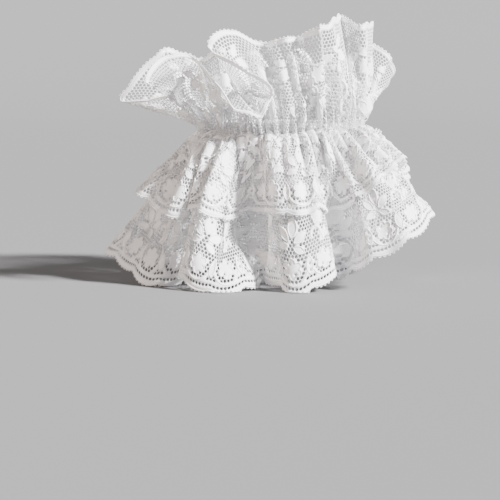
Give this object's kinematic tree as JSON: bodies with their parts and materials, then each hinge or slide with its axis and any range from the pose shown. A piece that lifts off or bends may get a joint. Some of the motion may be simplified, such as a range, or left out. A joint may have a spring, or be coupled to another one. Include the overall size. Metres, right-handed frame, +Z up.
{
  "type": "lace wrist cuff",
  "caption": "White lace wrist cuff: a gathered elastic with a ruffle flaring up and a short ruffle over a long one below.",
  "frame": {"origin": "middle of the footprint, on the surface that the cuff stands on", "axes": "+Z up along the hole for the wrist, towards the forearm; the back of the hand faces -Y; +X to the wearer's little-finger side"},
  "size_m": [0.1496, 0.107, 0.1163],
  "materials": {
    "elastic": "ribbed",
    "upper_lace": "sheer net",
    "short_lace": "floral lace",
    "long_lace": "floral lace"
  },
  "bodies": {
    "root": {"wrist_elastic": "elastic", "upper_ruffle": "upper_lace", "short_ruffle": "short_lace", "long_ruffle": "long_lace"}
  },
  "joints": []
}
